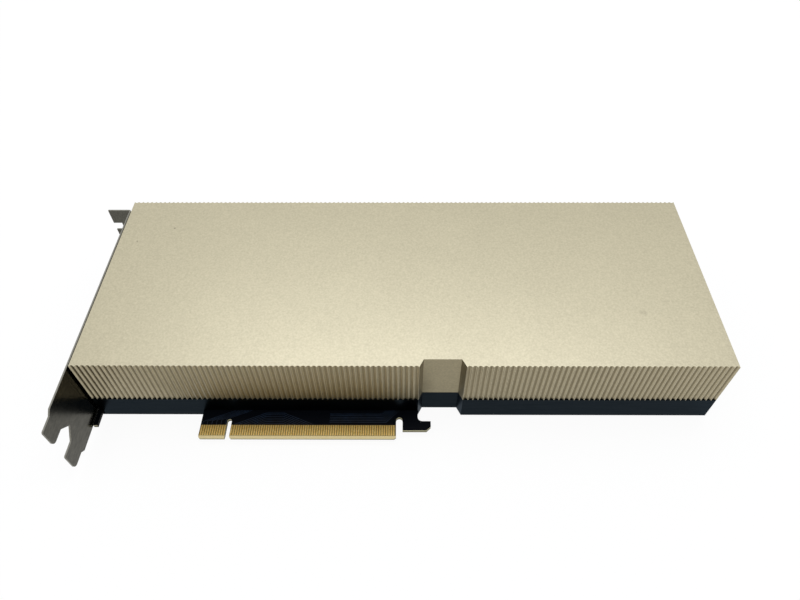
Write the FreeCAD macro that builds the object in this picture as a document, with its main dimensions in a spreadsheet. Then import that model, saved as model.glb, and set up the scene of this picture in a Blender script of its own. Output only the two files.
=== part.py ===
# Passive accelerator card, dual slot: a printed circuit board with its edge connector, between a
# back plate and a base frame, under a heat sink and a fluted cover, with a slot bracket at one end.
# Millimetres, +Z up.  The card lies on its back plate.  +X runs from the bracket to the power end,
# -Y is the side with the edge connector.  The origin is the middle of the back plate's outer face.
import FreeCAD, Part
import math
import operator
import os
import Sketcher

OPERATIONS = {"+": operator.add, "-": operator.sub, "*": operator.mul, "/": operator.truediv}

SIZES = {
    # case: back plate, base frame and cover
    "case_length": 267.5,
    "case_depth": 97.65,
    "case_height": 38.7,
    "seam_height": 13.35,
    "plate_thickness": 1.5,
    "plate_chamfer": 0.4,
    "frame_wall": 2.0,
    "cover_wall": 1.8,
    "cover_roof": 1.2,
    # recess for the slot latch, in the front side
    "recess_start": 140.2,
    "recess_width": 19.1,
    "recess_slant": 1.85,
    "recess_depth": 3.75,
    # upright flutes of the cover
    "flute_radius": 1.1,
    "flute_depth": 0.6,
    "flutes_left": 65,
    "flutes_right": 50,
    "flutes_rear": 124,
    # screws that clamp plate, board, frame and cover
    "screw_radius": 1.2,
    "screw_clearance": 0.25,
    "thread_clearance": 0.05,
    "screw_inset": 5.0,
    "screw_end_inset": 9.0,
    "boss_radius": 3.4,
    "standoff_radius": 3.0,
    "cover_boss_height": 9.0,
    "screw_bite": 6.5,
    "head_radius": 2.3,
    "head_sink": 0.1,
    "drive_radius": 0.95,
    "drive_depth": 0.6,
    # circuit board
    "board_thickness": 1.57,
    "board_standoff": 1.08,
    "board_clearance": 0.3,
    "finger_drop": 13.5,
    "tongue_start": 45.95,
    "tongue_corner": 0.7,
    "corner_share": 0.48,
    "bevel_depth": 0.4,
    "bevel_length": 1.2,
    "key_width": 2.0,
    "key_depth": 9.05,
    "latch_gap": 2.85,
    "latch_gap_depth": 10.0,
    "hook_length": 12.2,
    "hook_neck": 6.6,
    "hook_lift": 3.8,
    "hook_rise": 4.5,
    "hook_corner": 1.9,
    "hook_fillet": 2.0,
    "ear_width": 1.8,
    "ear_overhang": 0.7,
    "ear_lift": 5.9,
    "ear_root": 10.5,
    # gold contacts of the edge connector
    "contact_pitch": 1.0,
    "contact_width": 0.7,
    "contact_foot": 1.35,
    "contact_end": 6.2,
    "contact_thickness": 0.06,
    "contact_margin": 0.75,
    "contact_end_margin": 0.95,
    "contacts_short": 11,
    "contacts_long": 71,
    "key_clearance": 0.15,
    # slot bracket
    "bracket_gap": 1.0,
    "bracket_sheet": 0.7,
    "bracket_bottom": 1.4,
    "bracket_shoulder": 18.0,
    "slot_pitch": 20.32,
    "prong_center": 10.43,
    "prong_width": 10.19,
    "prong_tip": 14.5,
    "prong_root": 7.4,
    "prong_valley": 2.9,
    "upper_shoulder": 1.755,
    "upper_shoulder_length": 2.4,
    "lower_shoulder": 1.935,
    "prong_small_round": 0.9,
    "prong_large_round": 2.2,
    "tab_position": 106.0,
    "tab_reach": 10.6,
    "tab_slot_width": 4.42,
    "tab_slot_depth": 4.1,
    "tab_slot_center": 6.9,
    "tab_bend": 1.0,
    "vent_width": 2.8,
    "vent_top_margin": 1.3,
    "vent_row_gap": 1.6,
    "vent_end_margin": 8.7,
    "vents": 18,
    "vent_first": 9.0,
    "vent_bottom": 15.3,
    "bracket_pad_inset": 17.0,
    "bracket_tab_inset": 11.85,
    "bracket_pad_width": 8.0,
    "bracket_pad_depth": 5.0,
    "bracket_screw_bite": 3.5,
    "bracket_head_height": 1.1,
    # tapped holes for an extender at the power end
    "extender_radius": 1.25,
    "extender_depth": 6.0,
    "extender_pad_width": 8.0,
    "extender_gap": 5.05,
    "extender_pitch": 32.0,
    "extender_end_wall": 1.0,
    # heat sink
    "sink_gap": 4.25,
    "sink_base": 3.5,
    "sink_left_inset": 20.0,
    "sink_right_inset": 32.0,
    "sink_clearance": 0.6,
    "sink_top_gap": 0.2,
    "fin_thickness": 0.45,
    "fin_sheet": 0.4,
    "fins": 42,
    # processor package
    "processor_offset": 118.0,
    "substrate_width": 55.0,
    "substrate_thickness": 1.4,
    "ring_width": 3.2,
    "ring_thickness": 0.6,
    "die_width": 26.0,
    "die_depth": 31.0,
    "die_thickness": 0.8,
    "memory_width": 8.0,
    "memory_depth": 11.4,
    "memory_spacing": 0.6,
    "memory_rows": 3,
    "memory_gap": 0.8,
    "paste_thickness": 0.15,
    "sink_screw_offset": 32.6,
    "sink_screw_margin": 2.35,
    "post_radius": 3.0,
    "sink_screw_bite": 2.5,
    # power supply parts on the board
    "phases": 7,
    "phase_pitch": 8.6,
    "choke_gap": 2.0,
    "choke_width": 6.6,
    "choke_pad_thickness": 0.3,
    "stage_gap": 1.1,
    "stage_width": 5.0,
    "stage_depth": 6.0,
    "stage_thickness": 0.8,
    "stage_pad_thickness": 0.5,
    "capacitor_gap": 3.55,
    "capacitor_width": 7.3,
    "capacitor_depth": 4.3,
    "capacitor_height": 2.8,
    "can_radius": 4.0,
    "can_height": 9.0,
    "can_inset": 24.0,
    "can_first": 20.0,
    "can_pitch": 10.5,
    "cans": 4,
    "input_choke_width": 10.0,
    "input_choke_height": 7.0,
    "input_choke_gap": 2.5,
    "controller_width": 7.0,
    "controller_height": 0.9,
    "controller_gap": 11.35,
    "controller_pitch": 16.0,
    "controllers": 3,
    "flash_width": 6.0,
    "flash_depth": 5.0,
    "flash_height": 1.6,
    # underside of the board
    "sheet_thickness": 0.2,
    "sheet_margin": 2.5,
    "rear_pad_width": 14.0,
    "rear_capacitor_width": 2.0,
    "rear_capacitor_depth": 1.2,
    "rear_capacitor_height": 0.6,
    "rear_capacitor_pitch": 5.0,
    "rear_capacitor_rows": 4,
    # power inlet
    "inlet_width": 18.6,
    "inlet_height": 9.6,
    "inlet_length": 13.0,
    "inlet_inset": 27.0,
    "inlet_cell": 3.3,
    "inlet_pitch": 4.2,
    "inlet_cell_depth": 10.0,
    "inlet_columns": 4,
    "inlet_pin": 1.1,
    "inlet_pin_length": 7.0,
    "inlet_latch_width": 5.0,
    "inlet_latch_height": 1.4,
    "inlet_latch_length": 3.0,
}


class Size:
    """A number that remembers the sheet expression it comes from."""

    def __init__(self, number, text):
        self.number = number
        self.text = text

    def combine(self, sign, other, swapped=False):
        pair = (as_size(other), self) if swapped else (self, as_size(other))
        number = OPERATIONS[sign](pair[0].number, pair[1].number)
        return Size(number, f"({pair[0].text} {sign} {pair[1].text})")

    def __add__(self, other):
        return self.combine("+", other)

    def __radd__(self, other):
        return self.combine("+", other, swapped=True)

    def __sub__(self, other):
        return self.combine("-", other)

    def __rsub__(self, other):
        return self.combine("-", other, swapped=True)

    def __mul__(self, other):
        return self.combine("*", other)

    def __rmul__(self, other):
        return self.combine("*", other, swapped=True)

    def __truediv__(self, other):
        return self.combine("/", other)

    def __neg__(self):
        return 0 - self


def as_size(value):
    return value if isinstance(value, Size) else Size(value, repr(value))


def root(size):
    return Size(math.sqrt(size.number), f"sqrt({size.text})")


class Sheet:
    """The spreadsheet of driving sizes, read as attributes."""

    def __init__(self, document, table):
        self.cells = document.addObject("Spreadsheet::Sheet", "Sizes")
        for row, (name, value) in enumerate(table.items(), start=1):
            self.cells.set(f"A{row}", name)
            self.cells.set(f"B{row}", str(value))
            self.cells.setAlias(f"B{row}", name)
            setattr(self, name, Size(value, f"Sizes.{name}"))


doc = FreeCAD.newDocument("AcceleratorCard")
s = Sheet(doc, SIZES)
doc.recompute()


# ---- shared places -------------------------------------------------------------------------------
left = -s.case_length / 2
right = s.case_length / 2
front = -s.case_depth / 2
rear = s.case_depth / 2
tips = front - s.finger_drop
tab_front = tips + s.tab_position
recess_left = left + s.recess_start
recess_right = recess_left + s.recess_width
recess_middle = recess_left + s.recess_width / 2
recess_floor = front + s.recess_depth
board_bottom = s.plate_thickness + s.board_standoff
board_top = board_bottom + s.board_thickness
sink_bottom = board_top + s.sink_gap
fin_bottom = sink_bottom + s.sink_base
fin_top = s.case_height - s.cover_roof - s.sink_top_gap
notch_depth = s.screw_inset + s.boss_radius + s.sink_clearance
near_notch = recess_floor + notch_depth
far_notch = rear - notch_depth
notch_to_screw = s.post_radius + s.sink_screw_margin
sink_screw_rows = [near_notch + notch_to_screw, far_notch - notch_to_screw]
processor_x = left + s.processor_offset
processor_y = (near_notch + far_notch) / 2
package_top = board_top + s.substrate_thickness
die_top = package_top + s.die_thickness
paste_top = die_top + s.paste_thickness
stage_pad_top = board_top + s.stage_thickness + s.stage_pad_thickness
pedestal_width = s.die_width + 2 * (s.memory_gap + s.memory_width)
memory_pitch = s.memory_depth + s.memory_spacing
pedestal_depth = s.memory_rows * memory_pitch
stage_offset = s.sink_screw_offset + s.post_radius + s.stage_gap + s.stage_width / 2
choke_offset = stage_offset + s.stage_width / 2 + s.choke_gap + s.choke_width / 2
sink_left = left + s.sink_left_inset
sink_right = right - s.sink_right_inset
tongue_left = left + s.tongue_start
short_row = tongue_left + s.contact_margin
short_end = short_row + (s.contacts_short - 1) * s.contact_pitch
long_row = short_end + s.key_width + s.contact_width + 2 * s.key_clearance
long_end = long_row + (s.contacts_long - 1) * s.contact_pitch
key_middle = (short_end + long_row) / 2
tongue_right = long_end + s.contact_end_margin
hook_left = tongue_right + s.latch_gap
neck_right = hook_left + s.hook_neck
ear_right = left - s.ear_overhang + s.ear_width
bracket_inner = left - s.bracket_gap
bracket_outer = bracket_inner - s.bracket_sheet
inlet_y = rear - s.inlet_inset
inlet_half = s.inlet_width / 2 + s.board_clearance
pad_rows = [front + s.bracket_pad_inset, tab_front - s.bracket_tab_inset]
pad_height = (board_top + s.seam_height) / 2
far_extender = inlet_y - inlet_half - s.extender_gap - s.extender_pad_width / 2
extender_rows = [far_extender - s.extender_pitch, far_extender]
case_screw_places = [
    (left + s.screw_end_inset, front + s.screw_inset),
    (recess_middle, recess_floor + s.screw_inset),
    (right - s.screw_end_inset, front + s.screw_inset),
    (left + s.screw_end_inset, rear - s.screw_inset),
    (recess_middle, rear - s.screw_inset),
    (right - s.screw_end_inset, rear - s.screw_inset),
]
sink_screw_places = [
    (processor_x + side * s.sink_screw_offset, row) for side in (-1, 1) for row in sink_screw_rows
]
all_screw_places = case_screw_places + sink_screw_places


# ---- modelling helpers ---------------------------------------------------------------------------
def bind(thing, path, size):
    thing.setExpression(path, as_size(size).text)


def new_body(label):
    body = doc.addObject("PartDesign::Body", label)
    body.Label = label
    body.AllowCompound = True
    return body


def origin_part(body, role):
    return next(part for part in body.Origin.OriginFeatures if part.Role == role)


def new_sketch(body, plane, height):
    sketch = body.newObject("Sketcher::SketchObject", f"{body.Label}_sketch")
    sketch.AttachmentSupport = [(origin_part(body, plane), "")]
    sketch.MapMode = "FlatFace"
    bind(sketch, "AttachmentOffset.Base.z", height)
    return sketch


def constrain(sketch, kind, where, size):
    index = sketch.addConstraint(Sketcher.Constraint(kind, *where, as_size(size).number))
    bind(sketch, f"Constraints[{index}]", size)


def pin(sketch, edge, end, place):
    constrain(sketch, "DistanceX", (-1, 1, edge, end), place[0])
    constrain(sketch, "DistanceY", (-1, 1, edge, end), place[1])


def point(place):
    return FreeCAD.Vector(as_size(place[0]).number, as_size(place[1]).number, 0)


def polygon(sketch, corners):
    first = sketch.GeometryCount
    count = len(corners)
    for index in range(count):
        following = corners[(index + 1) % count]
        sketch.addGeometry(Part.LineSegment(point(corners[index]), point(following)), False)
    for index in range(count):
        joint = (first + index, 2, first + (index + 1) % count, 1)
        sketch.addConstraint(Sketcher.Constraint("Coincident", *joint))
        pin(sketch, first + index, 1, corners[index])


def box_corners(x_low, x_high, y_low, y_high):
    return [(x_low, y_low), (x_high, y_low), (x_high, y_high), (x_low, y_high)]


def rectangle(sketch, center, width, depth):
    x, y = center
    polygon(sketch, box_corners(x - width / 2, x + width / 2, y - depth / 2, y + depth / 2))


def circle(sketch, center, radius):
    shape = Part.Circle(point(center), FreeCAD.Vector(0, 0, 1), as_size(radius).number)
    edge = sketch.addGeometry(shape, False)
    pin(sketch, edge, 3, center)
    constrain(sketch, "Radius", (edge,), radius)


def upright_slot(sketch, center_x, low, high, width):
    """A slot with round ends, whose straight part runs from low to high."""
    radius = width / 2
    r = radius.number
    low_point = point((center_x, low))
    high_point = point((center_x, high))
    side = FreeCAD.Vector(r, 0, 0)
    axis = FreeCAD.Vector(0, 0, 1)
    first = sketch.GeometryCount
    upper = Part.ArcOfCircle(Part.Circle(high_point, axis, r), 0, math.pi)
    lower = Part.ArcOfCircle(Part.Circle(low_point, axis, r), math.pi, 2 * math.pi)
    sketch.addGeometry(
        [
            Part.LineSegment(low_point + side, high_point + side),
            upper,
            Part.LineSegment(high_point - side, low_point - side),
            lower,
        ],
        False,
    )
    for index in range(4):
        joint = (first + index, 2, first + (index + 1) % 4, 1)
        sketch.addConstraint(Sketcher.Constraint("Tangent", *joint))
    pin(sketch, first + 1, 3, (center_x, high))
    pin(sketch, first + 3, 3, (center_x, low))
    constrain(sketch, "Radius", (first + 1,), radius)
    constrain(sketch, "Radius", (first + 3,), radius)


def pad(body, sketch, length):
    """Adds material from the sketch along its plane's normal."""
    feature = body.newObject("PartDesign::Pad", f"{body.Label}_pad")
    feature.Profile = sketch
    bind(feature, "Length", length)
    doc.recompute()
    return feature


def pocket(body, sketch, length):
    """Cuts from the sketch along its plane's normal, and stops if nothing was cut."""
    volume = body.Shape.Volume
    feature = body.newObject("PartDesign::Pocket", f"{body.Label}_pocket")
    feature.Profile = sketch
    feature.Reversed = True
    bind(feature, "Length", length)
    doc.recompute()
    if body.Shape.Volume >= volume:
        raise RuntimeError(f"{feature.Label} cuts nothing")
    return feature


def pattern(body, feature, axis, spacing, count):
    row = body.newObject("PartDesign::LinearPattern", f"{body.Label}_row")
    row.Originals = [feature]
    row.Direction = (origin_part(body, axis), [""])
    bind(row, "Length", spacing * (count - 1))
    bind(row, "Occurrences", count)
    row.Refine = False
    body.Tip = row
    doc.recompute()
    return row


def edges_where(body, test):
    found = enumerate(body.Shape.Edges, start=1)
    return [f"Edge{index}" for index, edge in found if test(edge)]


def dress_edges(body, kind, test, property_name, size):
    base = body.Tip
    edges = edges_where(body, test)
    if not edges:
        raise RuntimeError(f"{body.Label} has no such edge")
    feature = body.newObject(f"PartDesign::{kind}", f"{body.Label}_{kind.lower()}")
    feature.Base = (base, edges)
    bind(feature, property_name, size)
    doc.recompute()


def round_edges(body, test, radius):
    dress_edges(body, "Fillet", test, "Radius", radius)


def chamfer_edges(body, test, size):
    dress_edges(body, "Chamfer", test, "Size", size)


def near(value, size):
    return abs(value - as_size(size).number) < 1e-4


def upright_at(*places):
    """Test for an upright edge at one of these places in X and Y."""

    def test(edge):
        ends = [vertex.Point for vertex in edge.Vertexes]
        if len(ends) < 2 or (ends[0] - ends[1]).normalize().z ** 2 < 0.99:
            return False
        return any(near(ends[0].x, x) and near(ends[0].y, y) for x, y in places)

    return test


def across_at(*places):
    """Test for an edge along X at one of these places in Y and Z."""

    def test(edge):
        ends = [vertex.Point for vertex in edge.Vertexes]
        if len(ends) < 2 or (ends[0] - ends[1]).normalize().x ** 2 < 0.99:
            return False
        return any(near(ends[0].y, y) and near(ends[0].z, z) for y, z in places)

    return test


def lies_flat_at(height):
    return lambda edge: all(near(vertex.Z, height) for vertex in edge.Vertexes)


def is_round_at(height, radius):
    """Test for a full circle of this radius, lying at this height."""

    def test(edge):
        whole = len(edge.Vertexes) == 1 and near(edge.Vertexes[0].Z, height)
        return whole and near(edge.Length, 2 * math.pi * radius)

    return test


def blocks(label, places, size, bottom, height, rows=None):
    """Separate flat-topped blocks of one size, in one node; rows is (pitch, count) along Y."""
    body = new_body(label)
    sketch = new_sketch(body, "XY_Plane", bottom)
    for place in places:
        rectangle(sketch, place, *size)
    block = pad(body, sketch, height)
    if rows:
        pattern(body, block, "Y_Axis", *rows)


def screws(label, places, top):
    """Countersunk screws driven from below, heads just inside the back plate."""
    body = new_body(label)
    taper_angle = -45
    head_height = s.head_radius - s.screw_radius
    head = new_sketch(body, "XY_Plane", s.head_sink)
    for place in places:
        circle(head, place, s.head_radius)
    cone = pad(body, head, head_height)
    cone.TaperAngle = taper_angle
    shank = new_sketch(body, "XY_Plane", s.head_sink + head_height)
    for place in places:
        circle(shank, place, s.screw_radius)
    pad(body, shank, top - head_height - s.head_sink)
    drive = new_sketch(body, "XY_Plane", s.head_sink)
    for place in places:
        circle(drive, place, s.drive_radius)
    pocket(body, drive, s.drive_depth)
    return body


def case_outline(sketch, inset, end_inset=None):
    """Outline of the case with its latch recess, its sides moved inwards by inset."""
    end_inset = inset if end_inset is None else end_inset
    slope = s.recess_slant / s.recess_depth
    corner = inset * (root(1 + slope * slope) - slope)
    polygon(
        sketch,
        [
            (left + end_inset, front + inset),
            (recess_left - corner, front + inset),
            (recess_left + s.recess_slant - corner, recess_floor + inset),
            (recess_right - s.recess_slant + corner, recess_floor + inset),
            (recess_right + corner, front + inset),
            (right - end_inset, front + inset),
            (right - end_inset, rear - inset),
            (left + end_inset, rear - inset),
        ],
    )


# ---- case ----------------------------------------------------------------------------------------
def make_flutes(body, start, length, count, wall, outwards):
    """Upright scallops side by side along one wall, from start over length."""
    pitch = length / count
    axis_y = wall + outwards * (s.flute_radius - s.flute_depth)
    sketch = new_sketch(body, "XY_Plane", s.seam_height)
    circle(sketch, (start + pitch / 2, axis_y), s.flute_radius)
    cut = pocket(body, sketch, s.case_height - s.seam_height)
    pattern(body, cut, "X_Axis", pitch, count)


def make_cover():
    body = new_body("cover")
    outer = new_sketch(body, "XY_Plane", s.seam_height)
    case_outline(outer, 0)
    pad(body, outer, s.case_height - s.seam_height)
    hollow = new_sketch(body, "XY_Plane", s.seam_height)
    case_outline(hollow, s.cover_wall, end_inset=-s.cover_wall)
    pocket(body, hollow, s.case_height - s.cover_roof - s.seam_height)
    bosses = new_sketch(body, "XY_Plane", s.seam_height)
    for place in case_screw_places:
        circle(bosses, place, s.boss_radius)
    pad(body, bosses, s.cover_boss_height)
    threads = new_sketch(body, "XY_Plane", s.seam_height)
    for place in case_screw_places:
        circle(threads, place, s.screw_radius + s.thread_clearance)
    pocket(body, threads, (s.screw_bite + s.cover_boss_height) / 2)
    make_flutes(body, left, s.recess_start, s.flutes_left, front, -1)
    make_flutes(body, recess_right, right - recess_right, s.flutes_right, front, -1)
    make_flutes(body, left, s.case_length, s.flutes_rear, rear, 1)


def make_base_frame():
    body = new_body("base_frame")
    wall_height = s.seam_height - s.plate_thickness
    outer = new_sketch(body, "XY_Plane", s.plate_thickness)
    case_outline(outer, 0)
    pad(body, outer, wall_height)
    hollow = new_sketch(body, "XY_Plane", s.plate_thickness)
    case_outline(hollow, s.frame_wall)
    pocket(body, hollow, wall_height)
    clearance = s.board_clearance
    passages = new_sketch(body, "XY_Plane", s.plate_thickness)
    passage_rear = recess_floor + s.frame_wall + clearance
    tongue_passage = (tongue_left - clearance, neck_right + clearance, tips, passage_rear)
    polygon(passages, box_corners(*tongue_passage))
    ear_side = ear_right + clearance
    rail_side = left + s.frame_wall + clearance
    root_end = front + s.ear_root + clearance
    polygon(
        passages,
        [
            (bracket_inner, tips),
            (ear_side, tips),
            (ear_side, front + s.frame_wall),
            (rail_side, front + s.frame_wall),
            (rail_side, root_end),
            (bracket_inner, root_end),
        ],
    )
    pocket(body, passages, board_top - s.plate_thickness)
    bosses = new_sketch(body, "XY_Plane", board_top)
    for place in case_screw_places:
        circle(bosses, place, s.boss_radius)
    pad(body, bosses, s.seam_height - board_top)
    holes = new_sketch(body, "XY_Plane", board_top)
    for place in case_screw_places:
        circle(holes, place, s.screw_radius + s.screw_clearance)
    pocket(body, holes, s.seam_height - board_top)
    make_end_pads(body, bracket_inner, s.bracket_gap + s.bracket_pad_depth, pad_rows, s.bracket_pad_width)
    threads = new_sketch(body, "YZ_Plane", bracket_inner)
    for row in pad_rows:
        circle(threads, (row, pad_height), s.screw_radius + s.thread_clearance)
    pocket(body, threads, (s.bracket_screw_bite + s.bracket_gap + s.bracket_pad_depth) / 2)
    extender_wall = s.extender_depth + s.extender_end_wall
    make_end_pads(body, right - extender_wall, extender_wall, extender_rows, s.extender_pad_width)
    extender = new_sketch(body, "YZ_Plane", right - s.extender_depth)
    for row in extender_rows:
        circle(extender, (row, pad_height), s.extender_radius)
    pocket(body, extender, s.extender_depth)
    inlet = new_sketch(body, "XY_Plane", board_top)
    inlet_box = (right - 2 * s.frame_wall, right, inlet_y - inlet_half, inlet_y + inlet_half)
    polygon(inlet, box_corners(*inlet_box))
    pocket(body, inlet, s.seam_height - board_top)


def make_end_pads(body, start, length, rows, width):
    """Thickened places of the end rails, above the board, that take a thread."""
    sketch = new_sketch(body, "YZ_Plane", start)
    for row in rows:
        rectangle(sketch, (row, pad_height), width, s.seam_height - board_top)
    pad(body, sketch, length)


def make_back_plate():
    body = new_body("back_plate")
    outer = new_sketch(body, "XY_Plane", 0)
    case_outline(outer, 0)
    pad(body, outer, s.plate_thickness)
    chamfer_edges(body, lies_flat_at(0), s.plate_chamfer)
    standoffs = new_sketch(body, "XY_Plane", s.plate_thickness)
    for place in all_screw_places:
        circle(standoffs, place, s.standoff_radius)
    pad(body, standoffs, s.board_standoff)
    hole_radius = s.screw_radius + s.screw_clearance
    holes = new_sketch(body, "XY_Plane", 0)
    for place in all_screw_places:
        circle(holes, place, hole_radius)
    pocket(body, holes, board_bottom)
    sink_size = s.head_radius + s.head_sink + s.thread_clearance - hole_radius
    chamfer_edges(body, is_round_at(0, hole_radius), sink_size)


def make_insulator_sheet():
    body = new_body("insulator_sheet")
    outline = new_sketch(body, "XY_Plane", s.plate_thickness)
    case_outline(outline, s.frame_wall + s.sheet_margin)
    pad(body, outline, s.sheet_thickness)
    holes = new_sketch(body, "XY_Plane", s.plate_thickness)
    for place in all_screw_places:
        circle(holes, place, s.standoff_radius + s.screw_clearance)
    pocket(body, holes, s.sheet_thickness)


# ---- circuit board -------------------------------------------------------------------------------
def make_circuit_board():
    body = new_body("circuit_board")
    inset = s.frame_wall + s.board_clearance
    inner_front = front + inset
    corner = s.tongue_corner
    key_left = key_middle - s.key_width / 2
    key_right = key_left + s.key_width
    key_top = tips + s.key_depth
    gap_top = tips + s.latch_gap_depth
    hook_bottom = tips + s.hook_lift
    hook_top = hook_bottom + s.hook_rise
    hook_right = hook_left + s.hook_length
    recess_inner = recess_floor + inset
    outline = new_sketch(body, "XY_Plane", board_bottom)
    polygon(
        outline,
        [
            (left - s.ear_overhang, tips + s.ear_lift),
            (ear_right, tips + s.ear_lift),
            (ear_right, inner_front),
            (tongue_left, inner_front),
            (tongue_left, tips + corner),
            (tongue_left + corner, tips),
            (key_left, tips),
            (key_left, key_top),
            (key_right, key_top),
            (key_right, tips + corner),
            (key_right + corner, tips),
            (tongue_right - corner, tips),
            (tongue_right, tips + corner),
            (tongue_right, gap_top),
            (hook_left, gap_top),
            (hook_left, hook_bottom),
            (hook_right - s.hook_corner, hook_bottom),
            (hook_right, hook_bottom + s.hook_corner),
            (hook_right, hook_top),
            (neck_right, hook_top),
            (neck_right, recess_inner),
            (recess_right + inset, recess_inner),
            (recess_right + inset, inner_front),
            (right - inset, inner_front),
            (right - inset, rear - inset),
            (left + inset, rear - inset),
            (left + inset, front + s.ear_root),
            (left - s.ear_overhang, front + s.ear_root),
        ],
    )
    pad(body, outline, s.board_thickness)
    round_edges(body, upright_at((neck_right, hook_top)), s.hook_fillet)
    round_edges(body, upright_at((key_left, key_top), (key_right, key_top)), s.corner_share * s.key_width)
    gap_corners = upright_at((tongue_right, gap_top), (hook_left, gap_top))
    round_edges(body, gap_corners, s.corner_share * s.latch_gap)
    holes = new_sketch(body, "XY_Plane", board_bottom)
    for place in all_screw_places:
        circle(holes, place, s.screw_radius + s.screw_clearance)
    pocket(body, holes, s.board_thickness)
    bevels = new_sketch(body, "YZ_Plane", tongue_left)
    for face, depth in ((board_top, -s.bevel_depth), (board_bottom, s.bevel_depth)):
        polygon(bevels, [(tips, face), (tips + s.bevel_length, face), (tips, face + depth)])
    pocket(body, bevels, tongue_right - tongue_left)


def make_contacts(label, bottom):
    """Gold contacts on one face of the tongue, in two rows with the key between them."""
    body = new_body(label)
    length = s.contact_end - s.contact_foot
    middle = tips + (s.contact_foot + s.contact_end) / 2
    for start, count in ((short_row, s.contacts_short), (long_row, s.contacts_long)):
        sketch = new_sketch(body, "XY_Plane", bottom)
        rectangle(sketch, (start, middle), s.contact_width, length)
        contact = pad(body, sketch, s.contact_thickness)
        pattern(body, contact, "X_Axis", s.contact_pitch, count)


# ---- slot bracket --------------------------------------------------------------------------------
def make_slot_bracket():
    body = new_body("slot_bracket")
    tab_rear = tab_front + s.bracket_sheet
    tip = tips - s.prong_tip
    prong_root = tips - s.prong_root
    valley = tips - s.prong_valley
    half = s.prong_width / 2
    low_center = s.prong_center
    high_center = low_center + s.slot_pitch
    top = high_center + half + s.upper_shoulder
    lower_edge = low_center - half - s.lower_shoulder
    shoulder = tips + s.bracket_shoulder
    plate = new_sketch(body, "YZ_Plane", bracket_outer)
    polygon(
        plate,
        [
            (shoulder, s.bracket_bottom),
            (tab_rear, s.bracket_bottom),
            (tab_rear, top),
            (prong_root + s.upper_shoulder_length, top),
            (prong_root, high_center + half),
            (tip, high_center + half),
            (tip, high_center - half),
            (prong_root, high_center - half),
            (valley, (low_center + high_center) / 2),
            (prong_root, low_center + half),
            (tip, low_center + half),
            (tip, low_center - half),
            (prong_root, low_center - half),
            (prong_root + s.lower_shoulder, lower_edge),
            (shoulder, lower_edge),
        ],
    )
    pad(body, plate, s.bracket_sheet)
    upper_corners = [(tip, high_center + half), (tip, low_center + half)]
    lower_corners = [(tip, high_center - half), (tip, low_center - half)]
    round_edges(body, across_at(*upper_corners), s.prong_small_round)
    round_edges(body, across_at(*lower_corners), s.prong_large_round)
    tab = new_sketch(body, "XY_Plane", s.bracket_bottom)
    tab_left = bracket_outer - s.tab_reach
    polygon(tab, box_corners(tab_left, bracket_outer, tab_front, tab_rear))
    pad(body, tab, top - s.bracket_bottom)
    round_edges(body, upright_at((bracket_inner, tab_rear)), s.tab_bend)
    round_edges(body, upright_at((bracket_outer, tab_front)), s.tab_bend - s.bracket_sheet)
    slots = new_sketch(body, "XZ_Plane", -tab_rear)
    slot_end = tab_left + s.tab_slot_depth
    slot_centers = (s.tab_slot_center, s.tab_slot_center + s.slot_pitch)
    for center in slot_centers:
        slot = (tab_left, slot_end, center - s.tab_slot_width / 2, center + s.tab_slot_width / 2)
        polygon(slots, box_corners(*slot))
    pocket(body, slots, s.bracket_sheet)
    vents = new_sketch(body, "YZ_Plane", bracket_outer)
    vent_height = (top - s.vent_top_margin - s.vent_bottom - s.vent_row_gap) / 2
    vent_start = front + s.vent_first
    vent_pitch = (tab_front - s.vent_end_margin - vent_start) / (s.vents - 1)
    for row in range(2):
        bottom = s.vent_bottom + row * (vent_height + s.vent_row_gap)
        low = bottom + s.vent_width / 2
        high = bottom + vent_height - s.vent_width / 2
        upright_slot(vents, vent_start, low, high, s.vent_width)
    cut = pocket(body, vents, s.bracket_sheet)
    pattern(body, cut, "Y_Axis", vent_pitch, s.vents)
    holes = new_sketch(body, "YZ_Plane", bracket_outer)
    for row in pad_rows:
        circle(holes, (row, pad_height), s.screw_radius + s.screw_clearance)
    pocket(body, holes, s.bracket_sheet)


def make_bracket_screws():
    body = new_body("bracket_screws")
    head_face = bracket_outer - s.bracket_head_height
    features = (
        (pad, head_face, s.head_radius, s.bracket_head_height),
        (pad, bracket_outer, s.screw_radius, s.bracket_sheet + s.bracket_screw_bite),
        (pocket, head_face, s.drive_radius, s.drive_depth),
    )
    for operation, start, radius, length in features:
        sketch = new_sketch(body, "YZ_Plane", start)
        for row in pad_rows:
            circle(sketch, (row, pad_height), radius)
        operation(body, sketch, length)


# ---- heat sink -----------------------------------------------------------------------------------
def sink_outline(sketch):
    """Heat sink footprint, notched round the middle screw bosses and the latch recess."""
    wall_gap = s.frame_wall + s.sink_clearance
    near_side = front + wall_gap
    far_side = rear - wall_gap
    notch_half = s.boss_radius + s.sink_clearance
    polygon(
        sketch,
        [
            (sink_left, near_side),
            (recess_left - wall_gap, near_side),
            (recess_left - wall_gap, near_notch),
            (recess_right + wall_gap, near_notch),
            (recess_right + wall_gap, near_side),
            (sink_right, near_side),
            (sink_right, far_side),
            (recess_middle + notch_half, far_side),
            (recess_middle + notch_half, far_notch),
            (recess_middle - notch_half, far_notch),
            (recess_middle - notch_half, far_side),
            (sink_left, far_side),
        ],
    )


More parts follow.
